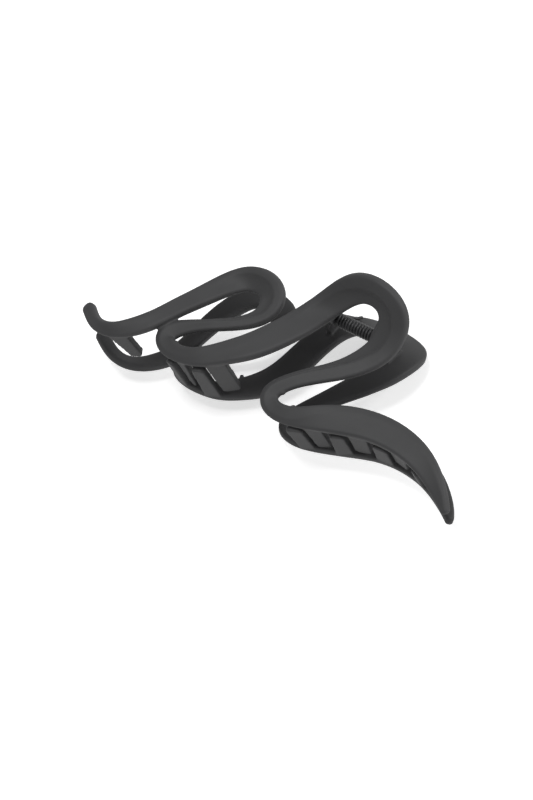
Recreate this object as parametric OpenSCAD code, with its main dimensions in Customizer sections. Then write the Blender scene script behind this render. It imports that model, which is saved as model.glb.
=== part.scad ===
// Serpentine claw clip: two mirrored moulded jaws, a torsion spring and a hinge pin.
// Frame: X along the hinge towards the pointed tail, Y from the teeth to the finger loops,
// Z from the lower jaw to the upper jaw. The origin is on the hinge axis, halfway along the spring.

/* [Jaw band] */
// Thickness of the moulded band
band_t = 3.0; // [2.4:0.1:3.4]
// Steepest inward lean of the jaw wall between the hinge and the teeth (rise per run)
wall_lean = 0.2; // [0.1:0.05:0.3]
// How fast the wall flares out away from its steepest lean, per square millimetre
wall_flare = 0.0024; // [0.0018:0.0001:0.0028]
// Height at which the wall leans most, measured from the hinge axis
lean_y = -18; // [-20:0.5:-16]

/* [Teeth] */
// Thickness of a tooth
tooth_t = 2.4; // [1.8:0.1:2.6]
// Gap between a tooth's tip and the other jaw's inner face
tip_gap = 0.9; // [0.6:0.1:1.5]
// Lean of every tooth out of square with the middle plane, in degrees
tooth_lean = 3; // [0:0.5:4]

/* [Hinge] */
// Diameter of the hinge pin
pin_d = 1.6; // [1.2:0.1:1.8]
// Radial running clearance between the pin and the ears
pin_clear = 0.05; // [0.03:0.01:0.1]
// Outer radius of a hinge ear
ear_r = 2.4; // [2.1:0.1:2.6]
// Thickness of one hinge ear
ear_t = 1.5; // [1.3:0.1:1.7]
// Gap between neighbouring ears, and between an ear and the spring
ear_gap = 0.3; // [0.3:0.05:0.4]

/* [Spring] */
// Outer diameter of the spring coil
coil_od = 4.3; // [4.0:0.1:4.4]
// Diameter of the spring wire
wire_d = 0.95; // [0.8:0.05:1]
// Number of full turns in the coil
coil_turns = 14; // [13:1:14]
// Distance from one turn of the coil to the next
coil_pitch = 1.05; // [1.04:0.01:1.1]

/* [Hidden] */

// Centre line of one jaw band from its stub to its tail: along X, along Y,
// distance from the middle plane, and width of the band there.
PATH = [
    [-73.6, -33.3, 8.8, 4.1], [-68.8, -37.1, 10, 3.9], [-63, -37.4, 11.4, 4.4], [-57.2, -34.4, 12, 5.5],
    [-51.2, -28.1, 12.4, 5.7], [-48.5, -21.5, 10.5, 6], [-45.2, -14.7, 8, 6.6], [-41.2, -7.2, 6.5, 7.2],
    [-36.3, -2.2, 6.5, 7.5], [-29.9, -1.6, 7.5, 8.1], [-25.1, -4.4, 7.5, 8.4], [-24.2, -10.9, 7.5, 6.4],
    [-29, -16.8, 9, 4.5], [-35.4, -21.1, 10, 3.6], [-41.6, -24.5, 10, 3.8], [-47.9, -29.2, 10, 6.5],
    [-45.7, -33.6, 10, 5.4], [-39.3, -34.3, 10.5, 5], [-32.5, -32.8, 12, 5.8], [-26, -27.9, 12.5, 7.1],
    [-20.2, -22.9, 12.5, 8.8], [-16.4, -16.6, 11, 9.3], [-13.2, -8.8, 8.1, 9.1], [-9.4, -0.7, 7.7, 8.6],
    [-5.3, 4.7, 11, 9.1], [-0.2, 7.2, 14.5, 9.9], [6.3, 7.3, 15.5, 10.2], [11.8, 5.2, 14, 10.3],
    [13.7, 1.9, 10.5, 10.1], [13, -4, 7.5, 9.5], [10.2, -9.2, 6.5, 8.8], [6, -14.8, 7, 7.3],
    [0.2, -20.5, 8.5, 5.9], [-6, -26.6, 9.5, 4.8], [-9.7, -32.4, 9, 5.3], [-6.6, -36.1, 8.4, 5.3],
    [0.3, -36, 8.7, 5.4], [7, -33, 9, 7.3], [14.5, -29.6, 8.5, 9], [22.5, -27, 7.5, 9.2],
    [32, -26.5, 6.8, 8.9], [41.5, -28.8, 6.2, 7.6], [48.6, -33.4, 5.2, 5.5], [52.4, -36.6, 4.2, 3.9],
    [54.4, -38.7, 3.4, 2.6]
];

// The lower jaw's centre line differs a little: row of PATH, and what is added along X and along Y
LOWER_MOVES = [[0, -0.6, -0.8], [1, -0.2, -0.4], [2, -0.1, -0.5], [3, 0, -0.2], [32, 0.4, 0], [33, 1.2, 0],
    [34, 2, 0.1], [35, 1.5, 0.2], [36, 0.5, 0]];

// Each tooth: place along the band in path steps, width at the root, width at the tip,
// drift of the tip along the band, and share of the gap between the jaws that it crosses.
UPPER_TEETH = [[2.42, 5.8, 3.8, 1.8, 0.76], [17.12, 2.8, 1.6, -0.7, 1], [18.52, 6, 5.4, 0.5, 0.95],
    [36.95, 5.2, 4.3, 0.7, 1], [38.66, 5.9, 5, -0.5, 1], [40.28, 6.4, 5.2, -1.1, 1]];
LOWER_TEETH = [[16.5, 3.6, 3, 0.6, 1], [17.8, 5, 3.8, 0.25, 1], [36.31, 4.6, 4.9, -1.25, 1],
    [37.81, 5.5, 4.3, 0.3, 1], [39.45, 5.9, 5, 0.7, 1], [41, 4.6, 3, 0.6, 1]];
TIP_ROUND = 1.2;      // corner radius of a tooth's tip, less on a narrow tooth
// Small grip nubs on the inner edges of the bends: place along the band, side (1 left, -1 right),
// radius, and how far the centre stands outside the edge. Two in a row make a peg.
UPPER_NUBS = [[16.45, 1, 0.8, -0.3], [33.4, 1, 0.8, -0.3], [36.1, 1, 0.8, -0.3]];
LOWER_NUBS = [[18.88, 1, 0.9, -0.2], [18.88, 1, 0.7, 0.6], [33.4, 1, 0.8, -0.3], [36.1, 1, 0.8, -0.3]];
NUB_DROP = 0.4;       // how far a nub lies below the middle of the band's thickness

STEPS = 3;            // rings per path step
CAP_ANGLES = [35, 60, 78];  // rings that round off each end of the band
CORNER_ANGLES = [10, 45, 80];  // points round one corner of the band's section
CORNER_SHARE = 0.44;  // corner radius as a share of the band's thickness
BEND_LIMIT = 0.85;    // largest half width on the inside of a bend, as a share of the bend's radius
CAP_SHARE = 0.45;     // how far an end is rounded, as a share of the width there
TOOTH_INSET = 1.4;    // distance of a tooth's middle plane from the band's lower edge
ROOT_DEPTH = 0.4;     // how far a tooth's root reaches into the band
EAR_WEB = [[-3.8, 7.6], [2.8, 9.6]];  // where an ear's web meets the jaw, along Y and Z
HEAD_RIM = 0.65;      // how far the pin's head stands out from the shaft
PEEN_RIM = 0.3;       // how far the pin's peened end stands out from the shaft
PIN_PLAY = 0.1;       // gap between the pin's head and the outer ear
last = len(PATH) - 1;
function moved(i) = let (m = [for (r = LOWER_MOVES) if (r[0] == i) [r[1], r[2], 0, 0]])
    len(m) > 0 ? PATH[i] + m[0] : PATH[i];
LOWER_PATH = [for (i = [0:last]) moved(i)];

// Uniform cubic B-spline over the jaw's own path, $path, which passes through both ends
function ctrl(i) = i < 0 ? 2 * $path[0] - $path[1] : i > last ? 2 * $path[last] - $path[last - 1] : $path[i];
function blend(i, t) = (pow(1 - t, 3) * ctrl(i - 1) + (3 * pow(t, 3) - 6 * pow(t, 2) + 4) * ctrl(i)
    + (-3 * pow(t, 3) + 3 * pow(t, 2) + 3 * t + 1) * ctrl(i + 1) + pow(t, 3) * ctrl(i + 2)) / 6;
function along(u) = let (i = min(floor(u), last - 1)) blend(i, u - i);
function place(u) = let (p = along(u)) [p[0], p[1], p[2]];
function unit(v) = v / norm(v);

// Direction of the band, normal of the jaw wall and direction across the band
function wall_slope(y) = wall_flare * pow(y - lean_y, 2) - wall_lean;
function heading(u) = unit(place(min(u + 0.05, last)) - place(max(u - 0.05, 0)));
function wall_normal(u) = let (t = heading(u), n = [0, -wall_slope(along(u)[1]), 1]) unit(n - (n * t) * t);
function across(u) = cross(wall_normal(u), heading(u));

// How sharply the band turns to its left, which limits the half width on the inside of a bend
function turn(u) = let (a = max(u - 0.4, 0), b = min(u + 0.4, last))
    ((heading(b) - heading(a)) * across(u)) / norm(place(b) - place(a));
function half_width(u, side) = let (w = along(u)[3] / 2, k = turn(u) * side) k > 0 ? min(w, BEND_LIMIT / k) : w;

// One ring of the band: a rectangle whose corners are rounded to almost half the thickness
function corner(i) = [for (s = [[1, 1], [-1, 1], [-1, -1], [1, -1]]) s][i];
function ring(u, shrink, push) = [
    for (q = [0:3]) for (a = CORNER_ANGLES)
        let (s = corner(q), turned = q % 2 == 0 ? a : 90 - a, r = CORNER_SHARE * band_t,
            w = half_width(u, s[0]) * shrink, h = band_t / 2 * shrink)
            place(u) + push * heading(u)
            + across(u) * s[0] * (max(w - r * shrink, 0) + r * shrink * cos(turned))
            + wall_normal(u) * s[1] * (h - r * shrink + r * shrink * sin(turned))
];
function cap_reach(u) = CAP_SHARE * along(u)[3];
function band_rings() = [
    for (i = [len(CAP_ANGLES) - 1:-1:0]) ring(0, cos(CAP_ANGLES[i]), -cap_reach(0) * sin(CAP_ANGLES[i])),
    for (i = [0:last * STEPS]) ring(i / STEPS, 1, 0),
    for (a = CAP_ANGLES) ring(last, cos(a), cap_reach(last) * sin(a))
];

// Closed tube through rings that all have the same number of points
module skin(rings) {
    n = len(rings[0]);
    rows = len(rings);
    polyhedron(points = [for (r = rings) for (p = r) p], faces = concat(
        [[for (k = [0:n - 1]) k]],
        [for (j = [0:rows - 2]) for (k = [0:n - 1]) let (m = (k + 1) % n)
            for (f = [[j * n + k, (j + 1) * n + k, j * n + m], [j * n + m, (j + 1) * n + k, (j + 1) * n + m]]) f],
        [[for (k = [n - 1:-1:0]) (rows - 1) * n + k]]));
}

// One tooth of the upper jaw, from inside the band's lower edge down towards the other jaw
module tooth(t, lean) {
    u = t[0];
    edge = place(u) - across(u) * (half_width(u, -1) - TOOTH_INSET);
    reach = (edge[2] + along(u)[2] - band_t / 2 - tip_gap) * t[4];
    tip_r = min(TIP_ROUND, 0.45 * t[2]);
    translate(edge) rotate([0, 0, atan2(heading(u)[1], heading(u)[0])]) rotate([90 + lean, 0, 0])
        linear_extrude(height = tooth_t, center = true) union() {
            polygon([[-t[1] / 2, ROOT_DEPTH], [t[1] / 2, ROOT_DEPTH], [t[3] + t[2] / 2, -reach + tip_r],
                [t[3] + t[2] / 2 - tip_r, -reach], [t[3] - t[2] / 2 + tip_r, -reach],
                [t[3] - t[2] / 2, -reach + tip_r]]);
            for (s = [-1, 1]) translate([t[3] + s * (t[2] / 2 - tip_r), -reach + tip_r])
                circle(r = tip_r, $fn = 24);
        }
}

module nub(n) {
    u = n[0];
    translate(place(u) + across(u) * n[1] * (half_width(u, n[1]) + n[3]) - wall_normal(u) * NUB_DROP)
        sphere(r = n[2], $fn = 20);
}

// Hinge ear of the upper jaw: a rounded eye round the hinge axis with a web up to the jaw's inner face
module ear(x) {
    translate([x - ear_t / 2, 0, 0]) rotate([90, 0, 90]) linear_extrude(height = ear_t) union() {
        circle(r = ear_r, $fn = 48);
        polygon([[-ear_r, 0], EAR_WEB[0], EAR_WEB[1], [ear_r, 0]]);
    }
}

module jaw(path, teeth, nubs, lean, ear_x) {
    $path = path;
    difference() {
        union() {
            skin(band_rings());
            for (t = teeth) tooth(t, lean);
            for (n = nubs) nub(n);
            for (s = [-1, 1]) ear(s * ear_x);
        }
        translate([-ear_x - ear_t, 0, 0]) rotate([0, 90, 0])
            cylinder(h = 2 * (ear_x + ear_t), r = pin_d / 2 + pin_clear, $fn = 48);
    }
}

coil_half = coil_turns * coil_pitch / 2;
inner_ear_x = coil_half + ear_gap + ear_t / 2;
outer_ear_x = inner_ear_x + ear_t + ear_gap;

module upper_jaw() {
    color("#3b3b3d") jaw(PATH, UPPER_TEETH, UPPER_NUBS, tooth_lean, inner_ear_x);
}

module lower_jaw() {
    color("#333335") mirror([0, 0, 1]) jaw(LOWER_PATH, LOWER_TEETH, LOWER_NUBS, -tooth_lean, outer_ear_x);
}

// Steel pin through all four ears, with a rounded head on one end and a peened end on the other
module hinge_pin() {
    reach = outer_ear_x + ear_t / 2 + PIN_PLAY;
    head_d = pin_d + 2 * HEAD_RIM;
    peen_d = pin_d + 2 * PEEN_RIM;
    color("#55565a") rotate([0, 90, 0]) union() {
        translate([0, 0, -reach]) cylinder(h = 2 * reach, d = pin_d, $fn = 48);
        translate([0, 0, reach]) cylinder(h = 0.7, d = head_d, $fn = 48);
        translate([0, 0, -reach - 0.4]) cylinder(h = 0.4, d = peen_d, $fn = 48);
    }
}

// Torsion spring: a close-wound coil with a leg at each end that lies against a finger loop
WIRE_SIDES = 8;
TURN_STEPS = 14;
coil_r = (coil_od - wire_d) / 2;
LEG_BACK = [[-6.5, 5.6, -9], [-6.1, 7.1, -10.6]];
LEG_FRONT = [[6.5, 5, 8.7], [6.2, 6.1, 10.1]];
function coil_point(i) = let (a = 360 * i / TURN_STEPS, x = coil_half - wire_d / 2)
    [-x + 2 * x * i / (coil_turns * TURN_STEPS), coil_r * cos(a), coil_r * sin(a)];
function wire_route() = concat([LEG_BACK[1], LEG_BACK[0]],
    [for (i = [0:coil_turns * TURN_STEPS]) coil_point(i)], LEG_FRONT);
function wire_ring(route, i) = let (n = len(route) - 1,
        t = unit(route[min(i + 1, n)] - route[max(i - 1, 0)]),
        s = unit([1, 0, 0] - t[0] * t), r = cross(t, s))
    [for (k = [0:WIRE_SIDES - 1]) let (a = 360 * k / WIRE_SIDES)
        route[i] + wire_d / 2 * (s * cos(a) + r * sin(a))];

module torsion_spring() {
    route = wire_route();
    color("#2b2b2e") skin([for (i = [0:len(route) - 1]) wire_ring(route, i)]);
}

lower_jaw();
upper_jaw();
hinge_pin();
torsion_spring();
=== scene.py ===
import math

import bmesh
import bpy
import numpy as np
from mathutils import Matrix, Vector


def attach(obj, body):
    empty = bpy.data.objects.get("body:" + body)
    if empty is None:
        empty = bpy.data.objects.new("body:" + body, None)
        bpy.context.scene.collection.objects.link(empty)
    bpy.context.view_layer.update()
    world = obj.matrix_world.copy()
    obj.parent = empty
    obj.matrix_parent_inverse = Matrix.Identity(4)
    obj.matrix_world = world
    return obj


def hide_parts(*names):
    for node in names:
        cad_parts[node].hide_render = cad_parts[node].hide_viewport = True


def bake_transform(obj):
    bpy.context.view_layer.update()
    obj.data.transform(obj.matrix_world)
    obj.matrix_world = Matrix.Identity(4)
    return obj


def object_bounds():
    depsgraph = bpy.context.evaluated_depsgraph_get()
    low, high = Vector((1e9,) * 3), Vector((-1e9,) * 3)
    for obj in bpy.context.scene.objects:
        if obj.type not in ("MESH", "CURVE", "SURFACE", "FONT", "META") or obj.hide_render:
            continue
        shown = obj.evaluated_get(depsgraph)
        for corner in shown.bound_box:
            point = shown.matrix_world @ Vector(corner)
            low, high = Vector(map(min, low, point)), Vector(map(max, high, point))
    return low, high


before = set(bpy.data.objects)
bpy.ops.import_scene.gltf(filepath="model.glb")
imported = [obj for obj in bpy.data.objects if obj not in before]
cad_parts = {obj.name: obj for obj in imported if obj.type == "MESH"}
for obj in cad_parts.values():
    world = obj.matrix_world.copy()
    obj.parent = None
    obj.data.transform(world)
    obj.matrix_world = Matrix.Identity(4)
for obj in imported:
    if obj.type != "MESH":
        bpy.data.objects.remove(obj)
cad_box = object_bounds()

MM = 0.001

# ---------------------------------------------------------------- the jaw's centre line
# Along X, along Y, distance from the middle plane, width, all in millimetres. The rows came from fits to
# the photo's outline and were then changed by hand. report.md says how, for the teeth and the camera too.
PATH = np.array([
    (-73.6, -33.3, 8.8, 4.1), (-68.8, -37.1, 10, 3.9), (-63, -37.4, 11.4, 4.4), (-57.2, -34.4, 12, 5.5),
    (-51.2, -28.1, 12.4, 5.7), (-48.5, -21.5, 10.5, 6), (-45.2, -14.7, 8, 6.6), (-41.2, -7.2, 6.5, 7.2),
    (-36.3, -2.2, 6.5, 7.5), (-29.9, -1.6, 7.5, 8.1), (-25.1, -4.4, 7.5, 8.4), (-24.2, -10.9, 7.5, 6.4),
    (-29, -16.8, 9, 4.5), (-35.4, -21.1, 10, 3.6), (-41.6, -24.5, 10, 3.8), (-47.9, -29.2, 10, 6.5),
    (-45.7, -33.6, 10, 5.4), (-39.3, -34.3, 10.5, 5), (-32.5, -32.8, 12, 5.8), (-26, -27.9, 12.5, 7.1),
    (-20.2, -22.9, 12.5, 8.8), (-16.4, -16.6, 11, 9.3), (-13.2, -8.8, 8.1, 9.1), (-9.4, -0.7, 7.7, 8.6),
    (-5.3, 4.7, 11, 9.1), (-0.2, 7.2, 14.5, 9.9), (6.3, 7.3, 15.5, 10.2), (11.8, 5.2, 14, 10.3),
    (13.7, 1.9, 10.5, 10.1), (13, -4, 7.5, 9.5), (10.2, -9.2, 6.5, 8.8), (6, -14.8, 7, 7.3),
    (0.2, -20.5, 8.5, 5.9), (-6, -26.6, 9.5, 4.8), (-9.7, -32.4, 9, 5.3), (-6.6, -36.1, 8.4, 5.3),
    (0.3, -36, 8.7, 5.4), (7, -33, 9, 7.3), (14.5, -29.6, 8.5, 9), (22.5, -27, 7.5, 9.2),
    (32, -26.5, 6.8, 8.9), (41.5, -28.8, 6.2, 7.6), (48.6, -33.4, 5.2, 5.5), (52.4, -36.6, 4.2, 3.9),
    (54.4, -38.7, 3.4, 2.6),
])
LAST = len(PATH) - 1
# The lower jaw's centre line differs a little: row of PATH, and what is added along X and along Y
LOWER_MOVES = [(0, -0.6, -0.8), (1, -0.2, -0.4), (2, -0.1, -0.5), (3, 0, -0.2), (32, 0.4, 0), (33, 1.2, 0),
               (34, 2, 0.1), (35, 1.5, 0.2), (36, 0.5, 0)]
LOWER_PATH = PATH.copy()
for moved_row, move_x, move_y in LOWER_MOVES:
    LOWER_PATH[moved_row, :2] += (move_x, move_y)

BAND_T, TOOTH_T, TIP_GAP, TOOTH_LEAN = 3.0, 2.4, 0.9, 3.0
TOOTH_INSET, ROOT_DEPTH, TIP_SHARE = 1.4, 0.4, 0.45
WALL_LEAN, WALL_FLARE, LEAN_Y = 0.2, 0.0024, -18.0
PIN_D, PIN_CLEAR, PIN_PLAY, PIN_CREASE = 1.6, 0.05, 0.1, 50
EAR_R, EAR_T, EAR_GAP = 2.4, 1.5, 0.3
# The ear's web, above its round eye: along Y and along Z
EAR_WEB = [(2.5, 4.0), (2.9, 9.4), (-3.7, 7.4), (-3.2, 4.0)]
# The pin's two ends: distance past the end of its shaft, and radius
PEEN_END = [(0.4, 0.0), (0.38, 0.45), (0.3, 0.85), (0.16, 1.08), (0.04, 1.1), (0.0, 1.02)]
HEAD_END = [(0.0, 1.36), (0.08, 1.45), (0.3, 1.38), (0.5, 1.05), (0.65, 0.6), (0.7, 0.0)]
COIL_OD, WIRE_D, COIL_TURNS, COIL_PITCH = 4.3, 0.95, 14, 1.05
COIL_HALF = COIL_TURNS * COIL_PITCH / 2
# The spring's legs: each has a free end, and the corner between that end and the coil
BACK_END, BACK_CORNER = (-6.1, 7.1, -10.6), (-6.5, 5.6, -9.0)
FRONT_CORNER, FRONT_END = (6.5, 5.0, 8.7), (6.2, 6.1, 10.1)
TURN_STEPS, LEG_STEPS, END_STEPS, WIRE_SIDES = 40, 10, 4, 14
INNER_EAR_X = COIL_HALF + EAR_GAP + EAR_T / 2
OUTER_EAR_X = INNER_EAR_X + EAR_T + EAR_GAP

# Place along the band, root width, tip width, drift of the tip, share of the gap
UPPER_TEETH = [(2.42, 5.8, 3.8, 1.8, 0.76), (17.12, 2.8, 1.6, -0.7, 1), (18.52, 6, 5.4, 0.5, 0.95),
               (36.95, 5.2, 4.3, 0.7, 1), (38.66, 5.9, 5, -0.5, 1), (40.28, 6.4, 5.2, -1.1, 1)]
LOWER_TEETH = [(16.5, 3.6, 3, 0.6, 1), (17.8, 5, 3.8, 0.25, 1), (36.31, 4.6, 4.9, -1.25, 1),
               (37.81, 5.5, 4.3, 0.3, 1), (39.45, 5.9, 5, 0.7, 1), (41, 4.6, 3, 0.6, 1)]
# Place along the band, side, radius, and how far the centre stands outside the edge
UPPER_NUBS = [(16.45, 1, 0.8, -0.3), (33.4, 1, 0.8, -0.3), (36.1, 1, 0.8, -0.3)]
LOWER_NUBS = [(18.88, 1, 0.9, -0.2), (18.88, 1, 0.7, 0.6), (33.4, 1, 0.8, -0.3), (36.1, 1, 0.8, -0.3)]
NUB_DROP, TIP_ROUND = 0.4, 1.2

# The moulded face of the band: place along it, where its crest runs (-1 right edge to 1 left edge),
# and how far the face falls away from the crest on its right and on its left.
RELIEF = [
    (0, 0.0, 0.2, 0.2), (5.5, 0.35, 0.12, 0.12), (6.7, 0.45, 0.35, 0.15), (8, 0.45, 0.75, 0.15),
    (9, 0.38, 1.0, 0.12), (10, 0.25, 1.2, 0.1), (11, 0.2, 1.2, 0.2), (12, -0.05, 1.0, 0.9),
    (13, -0.3, 0.7, 1.3), (14, -0.4, 0.45, 1.3), (15, -0.5, 0.4, 1.3), (16, -0.45, 0.35, 1.0),
    (17, -0.3, 0.25, 0.45),
    (18, 0.0, 0.15, 0.18), (21, 0.35, 0.12, 0.12), (22.3, 0.45, 0.4, 0.12), (23.5, 0.38, 0.8, 0.1),
    (25, 0.16, 1.3, 0.1), (28, 0.1, 1.4, 0.1), (29.3, 0.14, 1.35, 0.3), (30.4, 0.02, 1.25, 0.9),
    (31.4, -0.1, 1.3, 1.4), (32.4, -0.25, 1.0, 1.4), (34, -0.42, 0.5, 1.2), (35, -0.45, 0.45, 1.2),
    (36, -0.35, 0.3, 0.7), (37.3, 0.3, 0.15, 0.25), (39, 0.55, 0.12, 0.55), (43, 0.5, 0.12, 0.5),
    (44, 0.3, 0.15, 0.2),
]
CREST_SOFT = 0.06        # half width over which the crest is rounded, as a share of the half width
RING_STEP = 12           # rings per path step
FACE_POINTS = 21         # points across the moulded face
CORNER_POINTS = 6        # points round one corner of the section
OUT_R, IN_R = 0.95, 0.75  # corner radii on the outer and the inner side
RIGHT_CURVE, LEFT_CURVE = 3, 1.15  # how the face's fall grows away from the crest on each side
BEND_SPAN = 0.4          # path steps to each side over which a bend is measured
BEND_LIMIT = 0.85        # most that the half width may be on the inside of a bend, as a share of its radius
CAP_STEPS = 8            # rings in the rounded cap at each end of the band
CAP_SHARE = 0.45         # reach of a cap, as a share of the band's width
CAP_STOP = math.radians(82)  # angle of the last ring of a cap
CAP_KEEP = 0.35          # share of the thickness that a cap keeps up to the angle CAP_CLOSE
CAP_CLOSE = 1.2
VOXEL = 0.32 * MM        # mesh size at which a jaw's parts are fused
SOFTEN, SOFTEN_STEPS = 0.5, 4  # strength and number of the smoothing passes


def unit(v):
    return v / np.linalg.norm(v, axis=-1, keepdims=True)


def along(path, u):
    """A jaw's path rows, eased by a uniform cubic B-spline that passes through both ends."""
    pts = np.vstack([2 * path[0] - path[1], path, 2 * path[-1] - path[-2], 3 * path[-1] - 2 * path[-2]])
    i = np.minimum(np.floor(u), LAST - 1).astype(int)
    t = (u - i)[..., None]
    a, b, c, d = pts[i], pts[i + 1], pts[i + 2], pts[i + 3]
    return ((1 - t) ** 3 * a + (3 * t ** 3 - 6 * t ** 2 + 4) * b + (-3 * t ** 3 + 3 * t ** 2 + 3 * t + 1) * c
            + t ** 3 * d) / 6


def place(path, u):
    """The point of the centre line at u."""
    return along(path, u)[..., :3]


def heading(path, u):
    """The direction that the centre line runs in at u."""
    return unit(place(path, np.minimum(u + 0.05, LAST)) - place(path, np.maximum(u - 0.05, 0)))


def wall_normal(path, u):
    """The direction that the band's outer face looks in, which leans with the height along Y."""
    t = heading(path, u)
    y = along(path, u)[..., 1]
    n = np.stack([0 * y, -(WALL_FLARE * (y - LEAN_Y) ** 2 - WALL_LEAN), 0 * y + 1], -1)
    return unit(n - np.sum(n * t, -1, keepdims=True) * t)


def across(path, u):
    """The direction across the band, towards its left edge."""
    return np.cross(wall_normal(path, u), heading(path, u))


def half_width(path, u, side):
    """Half the band's width on one side, which stops short of the centre of a tight bend."""
    a, b = np.maximum(u - BEND_SPAN, 0), np.minimum(u + BEND_SPAN, LAST)
    turned = np.sum((heading(path, b) - heading(path, a)) * across(path, u), -1)
    k = turned / np.linalg.norm(place(path, b) - place(path, a), axis=-1) * side
    w = along(path, u)[..., 3] / 2
    return np.where(k > 0, np.minimum(w, BEND_LIMIT / np.maximum(k, 1e-6)), w)


def relief(u):
    """Crest place, fall to the right and fall to the left at each u, eased between the listed places."""
    rows = np.array(RELIEF)
    i = np.clip(np.searchsorted(rows[:, 0], u, side="right") - 1, 0, len(rows) - 2)
    t = np.clip((u - rows[i, 0]) / (rows[i + 1, 0] - rows[i, 0]), 0, 1)
    t = t * t * (3 - 2 * t)
    got = rows[i, 1:] * (1 - t)[:, None] + rows[i + 1, 1:] * t[:, None]
    return got[:, 0], got[:, 1], got[:, 2]


def soft_ramp(x, soft):
    """x where x is above zero and 0 below, rounded over soft."""
    return 0.5 * (x + np.sqrt(x * x + soft * soft)) - 0.5 * soft * np.exp(-np.abs(x) / soft)


def section(path, u):
    """The band's section at each u: its centre, wall normal and direction across, then the closed outline's
    distances along the direction across and along the normal, from the outer face round by the left side."""
    c, n, a = place(path, u)[:, None], wall_normal(path, u)[:, None], across(path, u)[:, None]
    right, left = half_width(path, u, -1)[:, None], half_width(path, u, 1)[:, None]
    crest, fall_r, fall_l = (v[:, None] for v in relief(u))
    half_t = BAND_T / 2

    def face_height(p):
        """Height of the outer face where p runs from -1 at the right edge to 1 at the left edge."""
        r = soft_ramp((crest - p) / (1 + crest), CREST_SOFT)
        l = soft_ramp((p - crest) / (1 - crest), CREST_SOFT)
        right_fall = fall_r * (1 - (1 - np.clip(r, 0, 1)) ** RIGHT_CURVE)
        return half_t - right_fall - fall_l * np.clip(l, 0, 1) ** LEFT_CURVE

    q = np.linspace(-1, 1, FACE_POINTS)[None]
    inner_r, inner_l = right - OUT_R, left - OUT_R
    face_a = np.where(q < 0, q * inner_r, q * inner_l)
    p = np.where(face_a < 0, face_a / right, face_a / left)
    face = (face_a, face_height(p))
    turn = np.linspace(0, math.pi / 2, CORNER_POINTS + 1)[None, 1:]
    top_l, top_r = face[1][:, -1:], face[1][:, :1]
    corner_l = (inner_l + OUT_R * np.sin(turn), top_l - OUT_R * (1 - np.cos(turn)))
    corner_r = (-inner_r - OUT_R * np.sin(turn[:, ::-1]), top_r - OUT_R * (1 - np.cos(turn[:, ::-1])))
    low_l = (left - IN_R * (1 - np.cos(turn)), -half_t + IN_R * (1 - np.sin(turn)))
    low_r = (-right + IN_R * (1 - np.cos(turn[:, ::-1])), -half_t + IN_R * (1 - np.sin(turn[:, ::-1])))
    ones = np.ones_like(right)
    parts = [face, corner_l, (left * ones, (-half_t + IN_R) * ones), low_l, low_r,
             (-right * ones, (-half_t + IN_R) * ones), corner_r]
    sa = np.concatenate([np.broadcast_to(x, (len(u), x.shape[1])) for x, _ in parts], 1)
    sn = np.concatenate([np.broadcast_to(y, (len(u), y.shape[1])) for _, y in parts], 1)
    return c, n, a, sa, sn


def band_rings(path):
    """The band's rings from its first end to its last, with a rounded cap at each."""
    u = np.linspace(0, LAST, LAST * RING_STEP + 1)
    c, n, a, sa, sn = section(path, u)
    body = c + a * sa[..., None] + n * sn[..., None]
    caps = []
    for k, way in ((0, -1), (-1, 1)):
        reach = CAP_SHARE * along(path, u[[k]])[0, 3]
        rings = []
        for g in np.linspace(0, CAP_STOP, CAP_STEPS + 1)[1:]:
            narrow = math.cos(g)
            thin = CAP_KEEP + (1 - CAP_KEEP) * narrow if g < CAP_CLOSE else narrow
            mid = c[k] + way * reach * math.sin(g) * heading(path, u[[k]])
            rings.append(mid + a[k] * sa[k][:, None] * narrow + n[k] * sn[k][:, None] * thin)
        caps.append(rings)
    return np.array(caps[0][::-1] + list(body) + caps[1])


def skin(bm, rings):
    """A closed tube through rings that all have the same number of points."""
    rows = [[bm.verts.new(p) for p in r] for r in rings]
    n = len(rows[0])
    for r0, r1 in zip(rows, rows[1:]):
        for k in range(n):
            bm.faces.new((r0[k], r0[(k + 1) % n], r1[(k + 1) % n], r1[k]))
    bm.faces.new(rows[0][::-1])
    bm.faces.new(rows[-1])


def extrude(bm, outline, thickness, spot):
    """A flat outline, thickened evenly to both sides and put in its place by the matrix spot."""
    sides = [[bm.verts.new(spot @ Vector((x, y, s * thickness / 2))) for x, y in outline] for s in (-1, 1)]
    n = len(outline)
    for k in range(n):
        m = (k + 1) % n
        bm.faces.new((sides[0][k], sides[0][m], sides[1][m], sides[1][k]))
    bm.faces.new(sides[0][::-1])
    bm.faces.new(sides[1])


def arc(cx, cy, r, start, stop, steps=8):
    """Points on an arc, with its angles in degrees."""
    return [(cx + r * math.cos(math.radians(start + (stop - start) * i / steps)),
             cy + r * math.sin(math.radians(start + (stop - start) * i / steps))) for i in range(steps + 1)]


def tooth(bm, path, row, lean):
    """A flat tooth that hangs from the band's right edge, with a rounded tip."""
    u, root, tip, drift, share = row
    at = np.array([float(u)])
    edge = (place(path, at) - across(path, at) * (half_width(path, at, -1) - TOOTH_INSET)[:, None])[0]
    reach = (edge[2] + along(path, at)[0, 2] - BAND_T / 2 - TIP_GAP) * share
    tip_r = min(TIP_ROUND, TIP_SHARE * tip)
    h = heading(path, at)[0]
    spot = (Matrix.Translation(Vector(edge)) @ Matrix.Rotation(math.atan2(h[1], h[0]), 4, "Z")
            @ Matrix.Rotation(math.radians(90 + lean), 4, "X"))
    outline = [(root / 2, ROOT_DEPTH), (-root / 2, ROOT_DEPTH)]
    outline += arc(drift - tip / 2 + tip_r, -reach + tip_r, tip_r, 180, 270)
    outline += arc(drift + tip / 2 - tip_r, -reach + tip_r, tip_r, 270, 360)
    extrude(bm, outline, TOOTH_T, spot)


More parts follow.
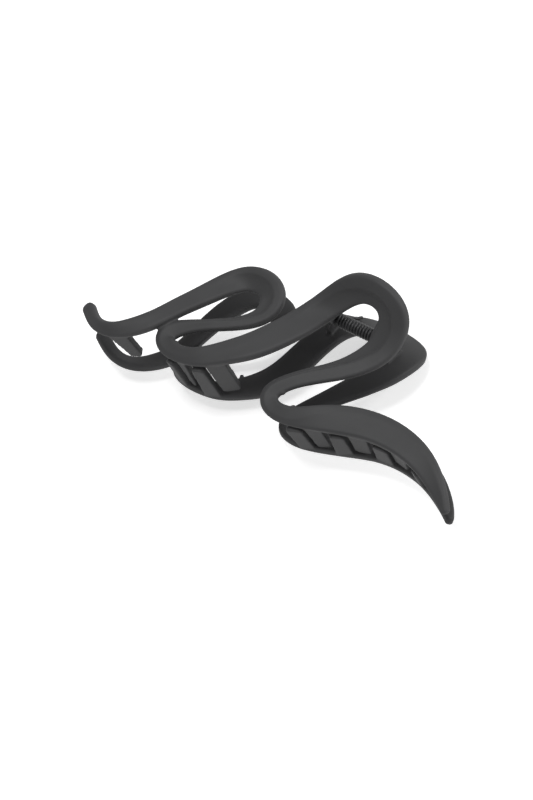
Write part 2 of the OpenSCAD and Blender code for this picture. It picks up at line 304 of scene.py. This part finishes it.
def nub(bm, path, row):
    """A small round bump on the edge of the band."""
    u, side, r, stand = row
    at = np.array([u])
    out = (side * (half_width(path, at, side) + stand))[:, None]
    centre = (place(path, at) + across(path, at) * out - wall_normal(path, at) * NUB_DROP)[0]
    spot = Matrix.Translation(Vector(centre))
    bmesh.ops.create_uvsphere(bm, u_segments=24, v_segments=16, radius=r, matrix=spot)


def ear(bm, x):
    """Hinge ear: a rounded eye round the hinge axis, with a web up to the jaw's inner face."""
    spot = Matrix.Translation((x, 0, 0)) @ Matrix(((0, 0, 1, 0), (1, 0, 0, 0), (0, 1, 0, 0), (0, 0, 0, 1)))
    extrude(bm, arc(0, 0, EAR_R, 180, 360, 24) + EAR_WEB, EAR_T, spot)


def make_object(name, bm):
    """Turns a bmesh in millimetres into a scene object in metres."""
    mesh = bpy.data.meshes.new(name)
    bm.to_mesh(mesh)
    bm.free()
    mesh.transform(Matrix.Scale(MM, 4))
    obj = bpy.data.objects.new(name, mesh)
    bpy.context.scene.collection.objects.link(obj)
    return obj


def apply_modifiers(obj):
    dg = bpy.context.evaluated_depsgraph_get()
    mesh = bpy.data.meshes.new_from_object(obj.evaluated_get(dg))
    old = obj.data
    obj.modifiers.clear()
    obj.data = mesh
    bpy.data.meshes.remove(old)
    mesh.name = obj.name


def shade_smooth(obj):
    obj.data.polygons.foreach_set("use_smooth", [True] * len(obj.data.polygons))
    obj.data.update()


def cut_bore(obj):
    """Opens the hinge hole through the ears, after the fused surface has been smoothed."""
    bm = bmesh.new()
    half = OUTER_EAR_X + EAR_T
    r = PIN_D / 2 + PIN_CLEAR
    rings = [[(x, r * math.cos(a), r * math.sin(a)) for a in np.linspace(0, 2 * math.pi, 49)[:-1]]
             for x in (-half, half)]
    skin(bm, rings)
    bmesh.ops.recalc_face_normals(bm, faces=bm.faces)
    cutter = make_object("bore_cutter", bm)
    cut = obj.modifiers.new("bore", "BOOLEAN")
    cut.operation, cut.object, cut.solver = "DIFFERENCE", cutter, "EXACT"
    apply_modifiers(obj)
    bpy.data.objects.remove(cutter)


def jaw(name, path, teeth, nubs, lean, ear_x, lower):
    """One moulded jaw: band, teeth, nubs and hinge ears fused into one smooth skin."""
    bm = bmesh.new()
    skin(bm, band_rings(path))
    for row in teeth:
        tooth(bm, path, row, lean)
    for row in nubs:
        nub(bm, path, row)
    for s in (-1, 1):
        ear(bm, s * ear_x)
    if lower:
        bmesh.ops.transform(bm, matrix=Matrix.Diagonal((1, 1, -1, 1)), verts=bm.verts)
    bmesh.ops.recalc_face_normals(bm, faces=bm.faces)
    obj = make_object(name, bm)
    fuse = obj.modifiers.new("fuse", "REMESH")
    fuse.mode, fuse.voxel_size, fuse.use_smooth_shade = "VOXEL", VOXEL, True
    soften = obj.modifiers.new("soften", "SMOOTH")
    soften.factor, soften.iterations = SOFTEN, SOFTEN_STEPS
    apply_modifiers(obj)
    cut_bore(obj)
    shade_smooth(obj)
    return obj


# ---------------------------------------------------------------- spring and pin
def wire_ring(route, i, radius, sides):
    """A ring of points round the wire at one point of its route."""
    n = len(route) - 1
    t = unit(route[min(i + 1, n)] - route[max(i - 1, 0)])
    s = unit(np.array([1.0, 0, 0]) - t[0] * t)
    r = np.cross(t, s)
    return [route[i] + radius * (s * math.cos(a) + r * math.sin(a))
            for a in np.linspace(0, 2 * math.pi, sides + 1)[:-1]]


def spring():
    """Close-wound torsion spring, with a bent leg at each end that rests on one of the jaws."""
    coil_r, x = (COIL_OD - WIRE_D) / 2, COIL_HALF - WIRE_D / 2
    last = COIL_TURNS * TURN_STEPS
    coil = [np.array([-x + 2 * x * i / last, coil_r * math.cos(2 * math.pi * i / TURN_STEPS),
                      coil_r * math.sin(2 * math.pi * i / TURN_STEPS)]) for i in range(last + 1)]
    back_end, back_corner, front_corner, front_end = (
        np.array(p) for p in (BACK_END, BACK_CORNER, FRONT_CORNER, FRONT_END))

    def between(a, b, count):
        """The points that divide the straight run from a to b into count steps."""
        return [a + (b - a) * i / count for i in range(1, count)]

    route = [back_end, *between(back_end, back_corner, END_STEPS),
             back_corner, *between(back_corner, coil[0], LEG_STEPS),
             *coil, *between(coil[-1], front_corner, LEG_STEPS),
             front_corner, *between(front_corner, front_end, END_STEPS), front_end]
    bm = bmesh.new()
    skin(bm, [wire_ring(route, i, WIRE_D / 2, WIRE_SIDES) for i in range(len(route))])
    bmesh.ops.recalc_face_normals(bm, faces=bm.faces)
    obj = make_object("spring_coil", bm)
    shade_smooth(obj)
    return obj


def pin():
    """Steel pin: a straight shaft, peened over at its left end, with a wider domed head at its right."""
    reach = OUTER_EAR_X + EAR_T / 2 + PIN_PLAY
    shaft = [(-reach, PIN_D / 2), (reach, PIN_D / 2)]
    profile = [(-reach - past, r) for past, r in PEEN_END] + shaft
    profile += [(reach + past, r) for past, r in HEAD_END]
    bm = bmesh.new()
    sides = 40
    rows = [[bm.verts.new((x, rad * math.cos(a), rad * math.sin(a)))
             for a in np.linspace(0, 2 * math.pi, sides + 1)[:-1]] for x, rad in profile[1:-1]]
    for r0, r1 in zip(rows, rows[1:]):
        for k in range(sides):
            bm.faces.new((r0[k], r0[(k + 1) % sides], r1[(k + 1) % sides], r1[k]))
    for row, (x, _) in ((rows[0], profile[0]), (rows[-1], profile[-1])):
        tip = bm.verts.new((x, 0, 0))
        for k in range(sides):
            bm.faces.new((tip, row[(k + 1) % sides], row[k]))
    bmesh.ops.recalc_face_normals(bm, faces=bm.faces)
    obj = make_object("pin_steel_rod", bm)
    shade_smooth(obj)
    edge = obj.modifiers.new("edges", "EDGE_SPLIT")
    edge.split_angle = math.radians(PIN_CREASE)
    apply_modifiers(obj)
    return obj


# ---------------------------------------------------------------- materials
def new_material(name):
    mat = bpy.data.materials.new(name)
    mat.use_nodes = True
    return mat, mat.node_tree.nodes, mat.node_tree.links, mat.node_tree.nodes["Principled BSDF"]


def noise(nodes, links, coord, scale, detail):
    n = nodes.new("ShaderNodeTexNoise")
    n.inputs["Scale"].default_value, n.inputs["Detail"].default_value = scale, detail
    links.new(coord.outputs["Object"], n.inputs["Vector"])
    return n


def ramp(nodes, links, source, low, high):
    """Maps a noise's middle range to two colours or grey values."""
    r = nodes.new("ShaderNodeValToRGB")
    r.color_ramp.elements[0].position, r.color_ramp.elements[1].position = 0.32, 0.68
    for e, v in zip(r.color_ramp.elements, (low, high)):
        e.color = (*v, 1) if isinstance(v, tuple) else (v, v, v, 1)
    links.new(source.outputs["Fac"], r.inputs["Fac"])
    return r


def matte_plastic():
    """Soft-touch dark grey plastic: slight cloudiness, fine grain."""
    mat, nodes, links, bsdf = new_material("jaw_plastic")
    coord = nodes.new("ShaderNodeTexCoord")
    cloud = noise(nodes, links, coord, 90, 3)
    grain = noise(nodes, links, coord, 3800, 2)
    tint = ramp(nodes, links, cloud, (0.050, 0.050, 0.0515), (0.056, 0.056, 0.0575))
    links.new(tint.outputs["Color"], bsdf.inputs["Base Color"])
    rough = ramp(nodes, links, grain, 0.54, 0.64)
    links.new(rough.outputs["Color"], bsdf.inputs["Roughness"])
    bsdf.inputs["Specular IOR Level"].default_value = 0.31
    bump = nodes.new("ShaderNodeBump")
    bump.inputs["Strength"].default_value, bump.inputs["Distance"].default_value = 0.12, 0.00004
    links.new(grain.outputs["Fac"], bump.inputs["Height"])
    links.new(bump.outputs["Normal"], bsdf.inputs["Normal"])
    return mat


def spring_wire():
    """Black satin spring wire with drawn marks."""
    mat, nodes, links, bsdf = new_material("spring_wire")
    coord = nodes.new("ShaderNodeTexCoord")
    marks = noise(nodes, links, coord, 1500, 3)
    tint = ramp(nodes, links, marks, (0.03, 0.03, 0.031), (0.05, 0.05, 0.052))
    links.new(tint.outputs["Color"], bsdf.inputs["Base Color"])
    rough = ramp(nodes, links, marks, 0.36, 0.48)
    links.new(rough.outputs["Color"], bsdf.inputs["Roughness"])
    bsdf.inputs["Metallic"].default_value = 0.3
    return mat


def pin_metal():
    """Darkened steel with fine turning marks."""
    mat, nodes, links, bsdf = new_material("pin_metal")
    coord = nodes.new("ShaderNodeTexCoord")
    marks = noise(nodes, links, coord, 1200, 3)
    tint = ramp(nodes, links, marks, (0.2, 0.2, 0.205), (0.27, 0.27, 0.275))
    links.new(tint.outputs["Color"], bsdf.inputs["Base Color"])
    rough = ramp(nodes, links, marks, 0.28, 0.4)
    links.new(rough.outputs["Color"], bsdf.inputs["Roughness"])
    bsdf.inputs["Metallic"].default_value = 0.9
    return mat


def floor_material():
    """Pale floor that glows a little, so that it stays near white."""
    mat, nodes, links, bsdf = new_material("pale_floor")
    coord = nodes.new("ShaderNodeTexCoord")
    cloud = noise(nodes, links, coord, 3, 2)
    tint = ramp(nodes, links, cloud, (0.93, 0.93, 0.93), (0.95, 0.95, 0.95))
    links.new(tint.outputs["Color"], bsdf.inputs["Base Color"])
    bsdf.inputs["Roughness"].default_value = 0.9
    bsdf.inputs["Emission Color"].default_value = (1, 1, 1, 1)
    bsdf.inputs["Emission Strength"].default_value = 0.5
    return mat


# ---------------------------------------------------------------- assembly
plastic = matte_plastic()
upper = jaw("jaw_upper", PATH, UPPER_TEETH, UPPER_NUBS, TOOTH_LEAN, INNER_EAR_X, False)
lower = jaw("jaw_lower", LOWER_PATH, LOWER_TEETH, LOWER_NUBS, -TOOTH_LEAN, OUTER_EAR_X, True)
for jaw_obj, node, body in ((upper, "upper_jaw", "upper_half"), (lower, "lower_jaw", "lower_half")):
    jaw_obj.data.materials.clear()
    jaw_obj.data.materials.append(plastic)
    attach(jaw_obj, body)
    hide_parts(node)

coil = spring()
coil.data.materials.append(spring_wire())
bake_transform(coil)
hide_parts("torsion_spring")

rod = pin()
rod.data.materials.append(pin_metal())
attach(rod, "lower_half")
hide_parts("hinge_pin")

# ---------------------------------------------------------------- floor, camera, light
FLOOR_HALF, FLOOR_DROP = 3.0, 0.0005
bm = bmesh.new()
bmesh.ops.create_grid(bm, x_segments=2, y_segments=2, size=FLOOR_HALF)
bmesh.ops.translate(bm, vec=(0, 0, cad_box[0].z - FLOOR_DROP), verts=bm.verts)
floor_mesh = bpy.data.meshes.new("floor")
bm.to_mesh(floor_mesh)
bm.free()
floor = bpy.data.objects.new("floor", floor_mesh)
bpy.context.scene.collection.objects.link(floor)
floor_mesh.materials.append(floor_material())
floor.visible_diffuse = floor.visible_glossy = False

CAMERA_PLACE = (0.4073, -0.2865, 0.8958)
CAMERA_RIGHT, CAMERA_UP = (0.81861, 0.52588, -0.23093), (-0.39745, 0.80892, 0.43322)
camera_data = bpy.data.cameras.new("camera")
camera = bpy.data.objects.new("camera", camera_data)
bpy.context.scene.collection.objects.link(camera)
right = Vector(CAMERA_RIGHT).normalized()
up = Vector(CAMERA_UP).normalized()
back = right.cross(up).normalized()
up = back.cross(right)
look = Matrix((right, up, back)).transposed().to_4x4()
camera.matrix_world = Matrix.Translation(Vector(CAMERA_PLACE)) @ look
camera_data.sensor_width = 36
camera_data.lens = 157.3
camera_data.shift_x, camera_data.shift_y = -0.01285, -0.06469
camera_data.clip_start, camera_data.clip_end = 0.01, 20
bpy.context.scene.camera = camera

SKY_GREYS = (0.88, 0.7, 0.26)  # straight down, level, straight up
LIGHT_SIZE = 0.28
world = bpy.data.worlds.new("studio")
world.use_nodes = True
sky = world.node_tree.nodes
sky_coord = sky.new("ShaderNodeTexCoord")
sky_axes = sky.new("ShaderNodeSeparateXYZ")
sky_ramp = sky.new("ShaderNodeValToRGB")
sky_map = sky.new("ShaderNodeMapRange")
sky_map.inputs["From Min"].default_value, sky_map.inputs["From Max"].default_value = -1, 1
world.node_tree.links.new(sky_coord.outputs["Generated"], sky_axes.inputs["Vector"])
world.node_tree.links.new(sky_axes.outputs["Z"], sky_map.inputs["Value"])
world.node_tree.links.new(sky_map.outputs["Result"], sky_ramp.inputs["Fac"])
world.node_tree.links.new(sky_ramp.outputs["Color"], sky["Background"].inputs["Color"])
sky_ramp.color_ramp.elements.new(0.5)
for e, grey in zip(sky_ramp.color_ramp.elements, SKY_GREYS):
    e.color = (grey, grey, grey, 1)
bpy.context.scene.world = world
bpy.context.scene.view_settings.view_transform = "Standard"


def soft_light(name, spot, power):
    """A round area light that looks at the hinge."""
    data = bpy.data.lights.new(name, "AREA")
    data.shape, data.size, data.energy = "DISK", LIGHT_SIZE, power
    obj = bpy.data.objects.new(name, data)
    obj.location = spot
    obj.rotation_mode = "QUATERNION"
    obj.rotation_quaternion = (-Vector(spot)).to_track_quat("-Z", "Y")
    bpy.context.scene.collection.objects.link(obj)


soft_light("key", (0.0, 0.0, 1.0), 3.8)
soft_light("side", (0.65, 0.6, 0.45), 3.5)
